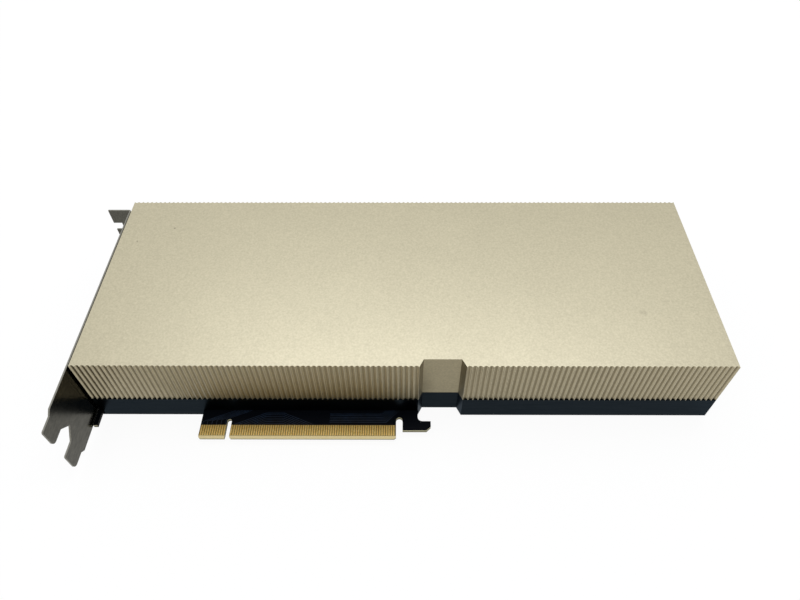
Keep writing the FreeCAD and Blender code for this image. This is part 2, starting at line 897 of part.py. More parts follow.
def make_vapour_chamber():
    body = new_body("vapour_chamber")
    chamber = new_sketch(body, "XY_Plane", sink_bottom)
    sink_outline(chamber)
    pad(body, chamber, s.sink_base)
    pedestal = new_sketch(body, "XY_Plane", paste_top)
    rectangle(pedestal, (processor_x, processor_y), pedestal_width, pedestal_depth)
    pad(body, pedestal, sink_bottom - paste_top)
    rails = new_sketch(body, "XY_Plane", stage_pad_top)
    for side in (-1, 1):
        rail = (processor_x + side * stage_offset, processor_y)
        rectangle(rails, rail, s.stage_width, s.phases * s.phase_pitch)
    pad(body, rails, sink_bottom - stage_pad_top)
    posts = new_sketch(body, "XY_Plane", board_top)
    for place in sink_screw_places:
        circle(posts, place, s.post_radius)
    pad(body, posts, s.sink_gap)
    threads = new_sketch(body, "XY_Plane", board_top)
    for place in sink_screw_places:
        circle(threads, place, s.screw_radius + s.thread_clearance)
    pocket(body, threads, s.sink_gap + (s.sink_screw_bite + s.sink_base) / 2)


def make_fin_stack():
    body = new_body("fin_stack")
    block = new_sketch(body, "XY_Plane", fin_bottom)
    sink_outline(block)
    pad(body, block, fin_top - fin_bottom)
    depth = s.case_depth - 2 * (s.frame_wall + s.sink_clearance)
    pitch = (depth - s.fin_thickness) / (s.fins - 1)
    first = -depth / 2 + (s.fin_thickness + pitch) / 2
    channel = new_sketch(body, "YZ_Plane", sink_left)
    middle = (first, (fin_bottom + fin_top) / 2)
    height = fin_top - fin_bottom - 2 * s.fin_sheet
    rectangle(channel, middle, pitch - s.fin_thickness, height)
    cut = pocket(body, channel, sink_right - sink_left)
    pattern(body, cut, "Y_Axis", pitch, s.fins - 1)


# ---- processor and power parts -------------------------------------------------------------------
def first_row(pitch, count):
    """Y of the first of a number of rows centred on the processor."""
    return processor_y - (count - 1) * pitch / 2


def beside_processor(offset, y):
    return [(processor_x - offset, y), (processor_x + offset, y)]


def make_processor():
    center = (processor_x, processor_y)
    square = (s.substrate_width, s.substrate_width)
    blocks("processor_substrate", [center], square, board_top, s.substrate_thickness)
    ring = new_body("stiffener_ring")
    sketch = new_sketch(ring, "XY_Plane", package_top)
    opening = s.substrate_width - 2 * s.ring_width
    rectangle(sketch, center, *square)
    rectangle(sketch, center, opening, opening)
    pad(ring, sketch, s.ring_thickness)
    blocks("processor_die", [center], (s.die_width, s.die_depth), package_top, s.die_thickness)
    reach = s.die_width / 2 + s.memory_gap + s.memory_width / 2
    rows = (memory_pitch, s.memory_rows)
    stacks = beside_processor(reach, first_row(*rows))
    size = (s.memory_width, s.memory_depth)
    blocks("memory_stacks", stacks, size, package_top, s.die_thickness, rows)
    paste = (pedestal_width, pedestal_depth)
    blocks("thermal_paste", [center], paste, die_top, s.paste_thickness)


def make_supply():
    rows = (s.phase_pitch, s.phases)
    start = first_row(*rows)
    choke_height = s.sink_gap - s.choke_pad_thickness
    chokes = beside_processor(choke_offset, start)
    size = (s.choke_width, s.choke_width)
    blocks("power_chokes", chokes, size, board_top, choke_height, rows)
    blocks("choke_pads", chokes, size, board_top + choke_height, s.choke_pad_thickness, rows)
    stages = beside_processor(stage_offset, start)
    size = (s.stage_width, s.stage_depth)
    stage_top = board_top + s.stage_thickness
    blocks("power_stages", stages, size, board_top, s.stage_thickness, rows)
    blocks("stage_pads", stages, size, stage_top, s.stage_pad_thickness, rows)
    capacitor_edge = choke_offset + s.choke_width / 2 + s.capacitor_gap
    capacitors = beside_processor(capacitor_edge + s.capacitor_width / 2, start)
    size = (s.capacitor_width, s.capacitor_depth)
    blocks("polymer_capacitors", capacitors, size, board_top, s.capacitor_height, rows)
    last_can = front + s.can_first + (s.cans - 1) * s.can_pitch
    beside_can = last_can + s.can_radius + s.input_choke_gap
    choke = [(right - s.can_inset, beside_can + s.input_choke_width / 2)]
    size = (s.input_choke_width, s.input_choke_width)
    blocks("input_choke", choke, size, board_top, s.input_choke_height)
    rows = (s.controller_pitch, s.controllers)
    controller_edge = capacitor_edge + s.capacitor_width + s.controller_gap
    outer_places = beside_processor(controller_edge + s.controller_width / 2, first_row(*rows))
    size = (s.controller_width, s.controller_width)
    blocks("controller_chips", outer_places[:1], size, board_top, s.controller_height, rows)
    size = (s.flash_width, s.flash_depth)
    blocks("flash_chip", outer_places[1:], size, board_top, s.flash_height)


def make_input_capacitors():
    body = new_body("input_capacitors")
    sketch = new_sketch(body, "XY_Plane", board_top)
    circle(sketch, (right - s.can_inset, front + s.can_first), s.can_radius)
    can = pad(body, sketch, s.can_height)
    pattern(body, can, "Y_Axis", s.can_pitch, s.cans)


def make_underside_parts():
    rows = (s.rear_capacitor_pitch, s.rear_capacitor_rows)
    start = first_row(*rows)
    columns = [0.5 * s.rear_capacitor_pitch, 1.5 * s.rear_capacitor_pitch]
    places = [place for column in columns for place in beside_processor(column, start)]
    size = (s.rear_capacitor_width, s.rear_capacitor_depth)
    height = s.rear_capacitor_height
    blocks("rear_capacitors", places, size, board_bottom - height, height, rows)
    sheet_top = s.plate_thickness + s.sheet_thickness
    pads = beside_processor((choke_offset + stage_offset) / 2, processor_y)
    size = (s.rear_pad_width, s.phases * s.phase_pitch)
    blocks("rear_thermal_pads", pads, size, sheet_top, board_bottom - sheet_top)


# ---- power inlet ---------------------------------------------------------------------------------
def make_power_inlet():
    body = new_body("power_inlet")
    middle = board_top + s.inlet_height / 2
    housing = new_sketch(body, "YZ_Plane", right - s.inlet_length)
    rectangle(housing, (inlet_y, middle), s.inlet_width, s.inlet_height)
    pad(body, housing, s.inlet_length)
    latch = new_sketch(body, "XY_Plane", board_top + s.inlet_height)
    latch_center = (right - s.inlet_latch_length, inlet_y)
    rectangle(latch, latch_center, s.inlet_latch_length, s.inlet_latch_width)
    pad(body, latch, s.inlet_latch_height)
    first = inlet_y - (s.inlet_columns - 1) * s.inlet_pitch / 2
    rows = [(first, middle + side * s.inlet_pitch / 2) for side in (-1, 1)]
    cell_floor = right - s.inlet_cell_depth
    cells = new_sketch(body, "YZ_Plane", cell_floor)
    for place in rows:
        rectangle(cells, place, s.inlet_cell, s.inlet_cell)
    cut = pocket(body, cells, s.inlet_cell_depth)
    pattern(body, cut, "Y_Axis", s.inlet_pitch, s.inlet_columns)
    pins = new_body("inlet_pins")
    sketch = new_sketch(pins, "YZ_Plane", cell_floor)
    for place in rows:
        rectangle(sketch, place, s.inlet_pin, s.inlet_pin)
    first_pins = pad(pins, sketch, s.inlet_pin_length)
    pattern(pins, first_pins, "Y_Axis", s.inlet_pitch, s.inlet_columns)


def check_and_write():
    """Stops on a failed feature or solid, then writes each sub-part to its own file."""
    doc.recompute()
    for item in doc.Objects:
        if {"Invalid", "Error"} & set(item.State):
            raise RuntimeError(f"{item.Label} failed: {item.State}")
    os.makedirs("parts", exist_ok=True)
    for body in doc.findObjects("PartDesign::Body"):
        if body.Shape.isNull() or not body.Shape.isValid():
            raise RuntimeError(f"{body.Label} has no valid solid")
        body.Shape.exportStep(f"parts/{body.Label}.step")
        print(body.Label, len(body.Shape.Solids), round(body.Shape.Volume, 1))


make_cover()
make_base_frame()
make_back_plate()
make_insulator_sheet()
make_circuit_board()
make_contacts("upper_contacts", board_top)
make_contacts("lower_contacts", board_bottom - s.contact_thickness)
make_slot_bracket()
make_bracket_screws()
screws("case_screws", case_screw_places, s.seam_height + s.screw_bite)
screws("heat_sink_screws", sink_screw_places, sink_bottom + s.sink_screw_bite)
make_vapour_chamber()
make_fin_stack()
make_processor()
make_supply()
make_input_capacitors()
make_underside_parts()
make_power_inlet()
check_and_write()
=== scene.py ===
import math

import bmesh
import bpy
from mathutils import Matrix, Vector


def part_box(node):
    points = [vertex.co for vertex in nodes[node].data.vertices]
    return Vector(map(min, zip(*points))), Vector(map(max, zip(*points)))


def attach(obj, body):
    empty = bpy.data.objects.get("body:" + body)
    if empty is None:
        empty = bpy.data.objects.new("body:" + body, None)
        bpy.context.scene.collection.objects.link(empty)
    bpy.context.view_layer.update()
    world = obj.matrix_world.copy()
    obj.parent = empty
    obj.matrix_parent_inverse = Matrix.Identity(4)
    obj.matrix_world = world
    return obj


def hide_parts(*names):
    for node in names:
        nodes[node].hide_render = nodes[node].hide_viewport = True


# Looks of a passive accelerator card: fluted gold cover, black frame, bare edge connector and slot bracket.
# Blender works in metres, so sizes in mm are multiplied by mm. The frame's origin is the middle of the underside.
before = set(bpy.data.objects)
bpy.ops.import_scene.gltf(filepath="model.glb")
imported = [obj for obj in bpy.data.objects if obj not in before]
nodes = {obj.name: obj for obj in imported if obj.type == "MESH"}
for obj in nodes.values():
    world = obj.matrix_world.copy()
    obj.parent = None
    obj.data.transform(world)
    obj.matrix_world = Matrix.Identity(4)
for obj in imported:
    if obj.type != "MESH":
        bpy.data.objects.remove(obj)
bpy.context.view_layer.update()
mm = 0.001
print("frame loaded with", len(nodes), "nodes")


# lowest and highest corner of a CAD node in mm, so that new pieces and patterns follow the frame
def boxMm(name):
    return [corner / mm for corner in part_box(name)]


# sRGB hex colour to the linear values that Blender wants
def linear(hexColour):
    channels = []
    for at in (1, 3, 5):
        value = int(hexColour[at:at + 2], 16) / 255
        channels.append(value / 12.92 if value <= 0.04045 else ((value + 0.055) / 1.055) ** 2.4)
    return (*channels, 1.0)


def addNode(tree, kind, settings=None, inputs=None):
    node = tree.nodes.new(kind)
    for name, value in (settings or {}).items():
        setattr(node, name, value)
    for name, value in (inputs or {}).items():
        if isinstance(value, bpy.types.NodeSocket):
            tree.links.new(value, node.inputs[name])
        else:
            node.inputs[name].default_value = value
    return node


def newMaterial(name):
    material = bpy.data.materials.new(name)
    material.use_nodes = True
    material.node_tree.nodes.clear()
    return material, material.node_tree


# uneven grain of a real size, stretched along an axis where one of the three numbers is below 1
def grain(tree, sizeMm, detail=2.0, stretch=(1, 1, 1)):
    place = addNode(tree, "ShaderNodeTexCoord").outputs["Object"]
    scaled = addNode(tree, "ShaderNodeMapping", inputs={"Vector": place, "Scale": stretch})
    noise = addNode(tree, "ShaderNodeTexNoise", inputs={
        "Vector": scaled.outputs["Vector"],
        "Scale": 1 / (sizeMm * mm),
        "Detail": detail,
    })
    return noise.outputs["Fac"]


# a colour that goes from one tone to another while a value rises from start to end
def toneAlong(tree, value, low, high, start=0.3, end=0.7):
    share = addNode(tree, "ShaderNodeMapRange", inputs={"Value": value, "From Min": start, "From Max": end})
    tone = addNode(tree, "ShaderNodeMix", {"data_type": "RGBA"}, {0: share.outputs[0], 6: low, 7: high})
    return tone.outputs[2]


def dress(material, *names):
    for name in names:
        slots = nodes[name].data.materials
        slots.clear()
        slots.append(material)


def newPiece(name, mesh, material, replaced=None):
    mesh.normal_update()
    data = bpy.data.meshes.new(name)
    mesh.to_mesh(data)
    mesh.free()
    data.materials.append(material)
    piece = bpy.data.objects.new(name, data)
    bpy.context.scene.collection.objects.link(piece)
    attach(piece, "root")
    if replaced:
        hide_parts(replaced)
    return piece


# cover: bead-blasted aluminium, anodised pale gold
# blasting gives a fine even sparkle; painted shade darkens the flutes' grooves and a painted highlight lightens their
# rims, and the walls and recess panel carry painted shade, darker than the top
coverLook = {
    "topColour": "#B4AD94",
    "paintedShadePanelColour": "#938A70",
    "paintedShadeSideColour": "#A99F84",
    "paintedHighlightCrestColour": "#B7AE95",
    "paintedShadeGrooveColour": "#7C7259",
    "fluteDepthMm": 0.6,
    "grooveShare": 0.05,     # the darkest painted shade ends at this share of a flute's height and here the flank reaches the side's colour
    "flankShare": 0.26,      # and here the flank has the side's own colour
    "panelShare": -0.2,      # what lies deeper than this is the panel of the latch recess
    "topSlope": 0.7,         # what looks up more than this belongs to the top
    "roughness": 0.41,
    "grainMm": 0.8,          # real blast pits are near 0.1 mm, drawn as coarse as they need to show
    "grainLight": 0.22,
    "pitMm": 0.02,
    "pitStrength": 0.3,
    "blotchMm": 26.0,
    "blotchLight": 0.03,
    # marks on the top: x, y and radius in mm, and how dark
    "specks": [(-109.5, 30.2, 0.55, 0.5), (-125.1, 21.4, 0.5, 0.45), (102.0, -21.0, 2.2, 0.1)],
    "speckCore": 0.4,
}


def makeAnodisedGold():
    look = coverLook
    material, tree = newMaterial("anodisedGoldAluminium")
    coverHigh = boxMm("cover")[1]
    fine = grain(tree, look["grainMm"], detail=3.0)
    here = addNode(tree, "ShaderNodeTexCoord").outputs["Object"]
    y = addNode(tree, "ShaderNodeSeparateXYZ", inputs={0: here}).outputs["Y"]
    outwards = addNode(tree, "ShaderNodeNewGeometry").outputs["True Normal"]
    up = addNode(tree, "ShaderNodeSeparateXYZ", inputs={0: outwards}).outputs["Z"]
    isTop = addNode(tree, "ShaderNodeMath", {"operation": "GREATER_THAN"}, {0: up, 1: look["topSlope"]})
    # 0 at the deepest line of a flute and 1 at its rim
    aside = addNode(tree, "ShaderNodeMath", {"operation": "ABSOLUTE"}, {0: y})
    height = addNode(tree, "ShaderNodeMapRange", {"clamp": False}, {
        "Value": aside.outputs[0],
        "From Min": (coverHigh.y - look["fluteDepthMm"]) * mm,
        "From Max": coverHigh.y * mm,
    }).outputs[0]
    onFlute = addNode(tree, "ShaderNodeMath", {"operation": "GREATER_THAN"}, {0: height, 1: look["panelShare"]})
    paintedShadeSideTone = linear(look["paintedShadeSideColour"])
    # painted shade darkens each flute towards its deepest line, and a painted highlight lightens its rim
    paintedGrooveShade = toneAlong(tree, height, linear(look["paintedShadeGrooveColour"]), paintedShadeSideTone, look["grooveShare"], look["flankShare"])
    paintedFluteShading = toneAlong(tree, height, paintedGrooveShade, linear(look["paintedHighlightCrestColour"]), look["flankShare"], 1.0)
    # painted shade: the flute walls and the deeper recess panel get darker colours than the top
    side = addNode(tree, "ShaderNodeMix", {"data_type": "RGBA"}, {
        0: onFlute.outputs[0], 6: linear(look["paintedShadePanelColour"]), 7: paintedFluteShading,
    })
    base = addNode(tree, "ShaderNodeMix", {"data_type": "RGBA"}, {
        0: isTop.outputs[0], 6: side.outputs[2], 7: linear(look["topColour"]),
    })
    # the grain lightens and darkens the skin, and so do broad faint clouds in the dye
    light = addNode(tree, "ShaderNodeMapRange", {"clamp": False}, {
        "Value": fine, "To Min": 1 - look["grainLight"], "To Max": 1 + look["grainLight"],
    }).outputs[0]
    cloud = addNode(tree, "ShaderNodeMapRange", {"clamp": False}, {
        "Value": grain(tree, look["blotchMm"], detail=1.0),
        "To Min": 1 - look["blotchLight"],
        "To Max": 1 + look["blotchLight"],
    })
    light = addNode(tree, "ShaderNodeMath", {"operation": "MULTIPLY"}, {0: light, 1: cloud.outputs[0]}).outputs[0]
    for speckX, speckY, radius, darkness in look["specks"]:
        away = addNode(tree, "ShaderNodeVectorMath", {"operation": "DISTANCE"}, {
            0: here, 1: (speckX * mm, speckY * mm, coverHigh.z * mm),
        })
        speck = addNode(tree, "ShaderNodeMapRange", inputs={
            "Value": away.outputs["Value"],
            "From Min": look["speckCore"] * radius * mm,
            "From Max": radius * mm,
            "To Min": 1 - darkness,
        })
        light = addNode(tree, "ShaderNodeMath", {"operation": "MULTIPLY"}, {0: light, 1: speck.outputs[0]}).outputs[0]
    shaded = addNode(tree, "ShaderNodeVectorMath", {"operation": "SCALE"}, {0: base.outputs[2], "Scale": light})
    pits = addNode(tree, "ShaderNodeBump", inputs={
        "Height": fine, "Strength": look["pitStrength"], "Distance": look["pitMm"] * mm,
    })
    surface = addNode(tree, "ShaderNodeBsdfPrincipled", inputs={
        "Base Color": shaded.outputs["Vector"],
        "Metallic": 1.0,
        "Roughness": look["roughness"],
        "Normal": pits.outputs["Normal"],
    })
    addNode(tree, "ShaderNodeOutputMaterial", inputs={"Surface": surface.outputs["BSDF"]})
    return material


# base frame and back plate: aluminium, black anodised
# the dyed skin swallows nearly all light and keeps a dim, soft, slightly blue mirror, darker where it faces dark parts
frameLook = {
    "dark": "#171B1E",
    "light": "#1E2225",
    "paintedShadeUnderEdge": "#0A0B0C",
    "edgeTint": "#C7CDD3",
    "roughness": 0.3,
    "toolMm": 0.7,           # real cutter marks are near 0.2 mm apart, drawn as coarse as they need to show
    "toolStretch": (0.08, 0.08, 1),
    "rippleMm": 0.03,
    "rippleStrength": 0.5,
    "underSlope": -0.7,      # slope of the bevel along the lower edge, and how much it may differ
    "underSpread": 0.25,
}


def makeAnodisedBlack():
    look = frameLook
    material, tree = newMaterial("anodisedBlackAluminium")
    marks = grain(tree, look["toolMm"], detail=3.0, stretch=look["toolStretch"])
    colour = toneAlong(tree, marks, linear(look["dark"]), linear(look["light"]))
    # the small bevel along the lower edge looks down and is painted near black as painted shade, so its mirror is dim
    outwards = addNode(tree, "ShaderNodeNewGeometry").outputs["True Normal"]
    slope = addNode(tree, "ShaderNodeSeparateXYZ", inputs={0: outwards}).outputs["Z"]
    isShadedBevel = addNode(tree, "ShaderNodeMath", {"operation": "COMPARE"}, {
        0: slope, 1: look["underSlope"], 2: look["underSpread"],
    })
    base = addNode(tree, "ShaderNodeMix", {"data_type": "RGBA"}, {
        0: isShadedBevel.outputs[0], 6: colour, 7: linear(look["paintedShadeUnderEdge"]),
    })
    ripple = addNode(tree, "ShaderNodeBump", inputs={
        "Height": marks, "Strength": look["rippleStrength"], "Distance": look["rippleMm"] * mm,
    })
    surface = addNode(tree, "ShaderNodeBsdfPrincipled", inputs={
        "Base Color": base.outputs[2],
        "Metallic": 1.0,
        "Roughness": look["roughness"],
        "Specular Tint": linear(look["edgeTint"]),
        "Normal": ripple.outputs["Normal"],
    })
    addNode(tree, "ShaderNodeOutputMaterial", inputs={"Surface": surface.outputs["BSDF"]})
    return material


# circuit board: glass epoxy laminate under black solder mask
# the mask is a matt black with a blue cast, and where it is left off or cut the amber laminate shows
boardLook = {
    "mask": "#020408",
    "maskLight": "#05080F",
    "weaveMm": 0.6,          # spacing of the yarns in the glass cloth, which shows through as a faint texture
    "weaveHeightMm": 0.01,
    "weaveStrength": 0.1,
    "bare": "#6F5F38",
    "bareLeftMm": 0.45,      # the strip with no mask goes this far past the first contact,
    "bareRightMm": 0.65,     # past the last one,
    "bareUpMm": 0.125,       # and above them
    "bevel": "#E2D2A2",
    "bevelDark": "#CDBB8A",
    "bevelSpan": (0.35, 0.65),
    "bevelSlope": 0.2,       # what looks up or down more than this is bevelled
    "faceSlope": 0.98,       # and more than this is one of the two faces
    "cut": "#BDB897",
    "cutPaintedShade": "#4A4837",
    "cutSpan": (0.3, 0.75),
    "cutShares": (-0.15, 0.85),   # tone of the lower and of the upper face
    "plyMm": 0.25,           # with the stretch 0.06 mm high, a ply's glass and resin one after the other
    "plyStretch": (1, 1, 4),
    "plyShift": 0.3,         # how far a ply moves the tone
    "coated": "#0B0B0A",     # the edges of the ear beside the bracket are coated with mask
    "earMm": 9.45,
    "endSlope": -0.9,        # what looks more towards the connector than this is the ear's routed end
    "roughness": 0.42,
    "gloss": 0.06,
}


def makeSolderMask():
    look = boardLook
    material, tree = newMaterial("solderMaskedLaminate")
    boardLow, boardHigh = boxMm("circuit_board")
    firstContact, lastContact = boxMm("upper_contacts")
    weave = grain(tree, look["weaveMm"], detail=2.0)
    mask = toneAlong(tree, weave, linear(look["mask"]), linear(look["maskLight"]))
    plies = grain(tree, look["plyMm"], detail=2.0, stretch=look["plyStretch"])
    bevel = toneAlong(tree, plies, linear(look["bevelDark"]), linear(look["bevel"]), *look["bevelSpan"])
    here = addNode(tree, "ShaderNodeTexCoord").outputs["Object"]
    x, y, z = addNode(tree, "ShaderNodeSeparateXYZ", inputs={0: here}).outputs
    outwards = addNode(tree, "ShaderNodeNewGeometry").outputs["True Normal"]
    slope = addNode(tree, "ShaderNodeSeparateXYZ", inputs={0: outwards}).outputs
    # the cut edges are painted darker towards the lower face as painted shade, and the plies move the tone a little
    height = addNode(tree, "ShaderNodeMapRange", inputs={
        "Value": z,
        "From Min": boardLow.z * mm,
        "From Max": boardHigh.z * mm,
        "To Min": look["cutShares"][0],
        "To Max": look["cutShares"][1],
    })
    layer = addNode(tree, "ShaderNodeMath", {"operation": "MULTIPLY_ADD"}, {
        0: plies, 1: look["plyShift"], 2: height.outputs[0],
    })
    routedWithPaintedShade = toneAlong(tree, layer.outputs[0], linear(look["cutPaintedShade"]), linear(look["cut"]), *look["cutSpan"])
    # mask also covers the small ear beside the bracket, apart from its routed end
    onEar = addNode(tree, "ShaderNodeMath", {"operation": "LESS_THAN"}, {
        0: x, 1: (boardLow.x + look["earMm"]) * mm,
    })
    isSide = addNode(tree, "ShaderNodeMath", {"operation": "GREATER_THAN"}, {0: slope["Y"], 1: look["endSlope"]})
    isCoated = addNode(tree, "ShaderNodeMath", {"operation": "MULTIPLY"}, {0: onEar.outputs[0], 1: isSide.outputs[0]})
    cut = addNode(tree, "ShaderNodeMix", {"data_type": "RGBA"}, {
        0: isCoated.outputs[0], 6: routedWithPaintedShade, 7: linear(look["coated"]),
    })
    upright = addNode(tree, "ShaderNodeMath", {"operation": "ABSOLUTE"}, {0: slope["Z"]}).outputs[0]
    isFace = addNode(tree, "ShaderNodeMath", {"operation": "GREATER_THAN"}, {0: upright, 1: look["faceSlope"]})
    isBevel = addNode(tree, "ShaderNodeMath", {"operation": "GREATER_THAN"}, {0: upright, 1: look["bevelSlope"]})
    bareLeft = firstContact.x - look["bareLeftMm"]
    bareRight = lastContact.x + look["bareRightMm"]
    alongStrip = addNode(tree, "ShaderNodeMath", {"operation": "COMPARE"}, {
        0: x, 1: (bareLeft + bareRight) / 2 * mm, 2: (bareRight - bareLeft) / 2 * mm,
    })
    outside = addNode(tree, "ShaderNodeMath", {"operation": "LESS_THAN"}, {
        0: y, 1: (lastContact.y + look["bareUpMm"]) * mm,
    })
    isBare = addNode(tree, "ShaderNodeMath", {"operation": "MULTIPLY"}, {
        0: alongStrip.outputs[0], 1: outside.outputs[0],
    })
    face = addNode(tree, "ShaderNodeMix", {"data_type": "RGBA"}, {
        0: isBare.outputs[0], 6: mask, 7: linear(look["bare"]),
    })
    edge = addNode(tree, "ShaderNodeMix", {"data_type": "RGBA"}, {
        0: isBevel.outputs[0], 6: cut.outputs[2], 7: bevel,
    })
    base = addNode(tree, "ShaderNodeMix", {"data_type": "RGBA"}, {
        0: isFace.outputs[0], 6: edge.outputs[2], 7: face.outputs[2],
    })
    threads = addNode(tree, "ShaderNodeBump", inputs={
        "Height": weave, "Strength": look["weaveStrength"], "Distance": look["weaveHeightMm"] * mm,
    })
    surface = addNode(tree, "ShaderNodeBsdfPrincipled", inputs={
        "Base Color": base.outputs[2],
        "Roughness": look["roughness"],
        "Specular IOR Level": look["gloss"],
        "Normal": threads.outputs["Normal"],
    })
    addNode(tree, "ShaderNodeOutputMaterial", inputs={"Surface": surface.outputs["BSDF"]})
    return material


# contacts: hard gold over nickel, wiped by the socket's springs
# a warm yellow mirror, broken up by fine marks along each contact
contactLook = {
    "dark": "#CCA44E",
    "light": "#F4DC96",
    "roughness": 0.3,
    "wipeMm": 0.8,           # with the stretch 0.2 mm wide, as a spring's tip is
    "wipeStretch": (4, 1, 1),
    "scoreMm": 0.01,
    "scoreStrength": 0.1,
}


def makeHardGold():
    look = contactLook
    material, tree = newMaterial("hardGoldPlating")
    wipe = grain(tree, look["wipeMm"], detail=3.0, stretch=look["wipeStretch"])
    colour = toneAlong(tree, wipe, linear(look["dark"]), linear(look["light"]))
    scores = addNode(tree, "ShaderNodeBump", inputs={
        "Height": wipe, "Strength": look["scoreStrength"], "Distance": look["scoreMm"] * mm,
    })
    surface = addNode(tree, "ShaderNodeBsdfPrincipled", inputs={
        "Base Color": colour,
        "Metallic": 1.0,
        "Roughness": look["roughness"],
        "Normal": scores.outputs["Normal"],
    })
    addNode(tree, "ShaderNodeOutputMaterial", inputs={"Surface": surface.outputs["BSDF"]})
    return material


# copper traces under the mask: they stand up a little and the mask over them is smoother; their lighter tone is partly
# copper showing through the mask and partly a painted sheen
traceLook = {
    "dark": "#0E1825",
    "light": "#1D2E44",
    "roughness": 0.35,
    "waveMm": 2.5,
    "signalMm": 0.18,        # real traces are near 0.15 mm, drawn as wide as they need to show
    "runMm": 0.22,
    "thicknessMm": 0.04,
    "pitchMm": 1.0,
    "contactMm": 0.7,        # width of a contact
    "every": 2,              # signal contacts with a trace alternate with ground contacts without one
    "shortCount": 11,        # contacts before the key
    "longCount": 71,         # contacts after it
    "startMm": 0.025,        # a trace starts this far above its contact
    "straightMm": 0.4,       # and goes straight at least this far before it slants
    "slope": 0.42,
    "spreadMm": 0.3,         # the first group's slants start this much lower from one contact to the next
    "wallGapMm": 0.035,      # traces stop just short of the frame's wall
    # the places below are along the connector from the first contact after the key, and up from the contacts
    "keyCornerMm": (-2.25, 3.125),   # corner of the key slot that the first group rises past
    "loops": 7,
    "middleMm": 18.0,        # the loops lie inside each other, even about this line
    "flatHalfMm": 4.0,
    "runs": 6,
    "runGapMm": 0.8,
    "runUpMm": 1.475,
    "runLeftMm": 42.05,
    "runRightMm": 66.55,
    "runStep": 0.4,          # each run turns up this share of the gap before the one below it
}


def makeCoveredCopper():
    look = traceLook
    material, tree = newMaterial("solderMaskOverCopper")
    wave = grain(tree, look["waveMm"], detail=1.0)
    surface = addNode(tree, "ShaderNodeBsdfPrincipled", inputs={
        "Base Color": toneAlong(tree, wave, linear(look["dark"]), linear(look["light"])),
        "Roughness": look["roughness"],
    })
    addNode(tree, "ShaderNodeOutputMaterial", inputs={"Surface": surface.outputs["BSDF"]})
    return material


# a raised flat strip on the board, along a route of (x, y) places in mm
def addStrip(mesh, route, width):
    half = width / 2
    low = boxMm("circuit_board")[1].z
    high = low + traceLook["thicknessMm"]
    rings = []
    for at, place in enumerate(route):
        here = Vector(place)
        before = (here - Vector(route[at - 1])).normalized() if at else None
        after = (Vector(route[at + 1]) - here).normalized() if at + 1 < len(route) else None
        way = ((before or after) + (after or before)).normalized()
        reach = half / max(0.5, way.dot(after or before))   # a mitre is never wider than two strips
        across = Vector((-way.y, way.x)) * reach
        left, right = here + across, here - across
        corners = [(left, low), (left, high), (right, high), (right, low)]
        rings.append([mesh.verts.new((flat.x * mm, flat.y * mm, z * mm)) for flat, z in corners])
    for first, second in zip(rings, rings[1:]):
        for at in range(4):
            following = (at + 1) % 4
            mesh.faces.new((first[at], first[following], second[following], second[at]))
    mesh.faces.new(reversed(rings[0]))
    mesh.faces.new(rings[-1])


# two kinds of route, as (x, y) places: one leaves a contact and slants up to the frame's wall
def slantRoute(x, start, startSlant, wall):
    return [(x, start), (x, startSlant), (x + (wall - startSlant) / traceLook["slope"], wall)]


# the other slants towards the middle of the loops, runs level over it and comes down to a contact on its other side
def loopRoute(x, start, startSlant, middle):
    reach = middle - x - traceLook["flatHalfMm"]
    half = [(x, start), (x, startSlant), (x + reach, startSlant + reach * traceLook["slope"])]
    return half + [(2 * middle - away, y) for away, y in reversed(half)]


def makeTraces(material):
    look = traceLook
    mesh = bmesh.new()
    contactLow, contactHigh = boxMm("upper_contacts")
    wall = boxMm("base_frame")[0].y - look["wallGapMm"]
    shortFirst = contactLow.x + look["contactMm"] / 2
    longFirst = contactHigh.x - look["contactMm"] / 2 - (look["longCount"] - 1) * look["pitchMm"]
    middle = longFirst + look["middleMm"]
    start = contactHigh.y + look["startMm"]
    lowest = start + look["straightMm"]
    keyX = longFirst + look["keyCornerMm"][0]
    keyY = contactHigh.y + look["keyCornerMm"][1]
    for at in range(0, look["shortCount"], look["every"]):
        x = shortFirst + at * look["pitchMm"]
        clear = keyY - look["slope"] * (keyX - x) + look["spreadMm"] * (look["shortCount"] - 1 - at)
        addStrip(mesh, slantRoute(x, start, max(lowest, clear), wall), look["signalMm"])
    for at in range(look["loops"]):
        x = longFirst + (1 + at * look["every"]) * look["pitchMm"]
        addStrip(mesh, loopRoute(x, start, lowest, middle), look["signalMm"])
    # long runs side by side that turn up to the frame at the right
    left = longFirst + look["runLeftMm"]
    for at in range(look["runs"]):
        y = contactHigh.y + look["runUpMm"] + at * look["runGapMm"]
        right = longFirst + look["runRightMm"] - at * look["runGapMm"] * look["runStep"]
        addStrip(mesh, [(left, y), (right, y), (right + wall - y, wall)], look["runMm"])
    return newPiece("tongueTraces", mesh, material)


# slot bracket: stamped steel with dark nickel plating
# a soft mirror on the flats, and a bright grey drag where the press has sheared the edges
bracketLook = {
    "dark": "#47463F",
    "light": "#5D5B53",
    "edge": "#97958B",
    "edgeDark": "#5C5A53",
    "roughness": 0.22,
    "edgeRoughness": 0.4,
    "grainMm": 0.6,          # rolling marks of the sheet, near 0.1 mm wide, drawn as coarse as they need to show
    "grainStretch": (1, 0.25, 1),
    "dragMm": 0.3,           # with the stretch 0.08 mm across the sheet's thickness, as the press leaves them
    "dragStretch": (4, 1, 1),
    "rippleMm": 0.01,
    "rippleStrength": 0.1,
    "plateMm": 0.71,         # just over the thickness of the plate, beyond it is the tab
    "flatSlope": 0.4,        # what faces along X, or along Y on the tab, more than this is a flat
}


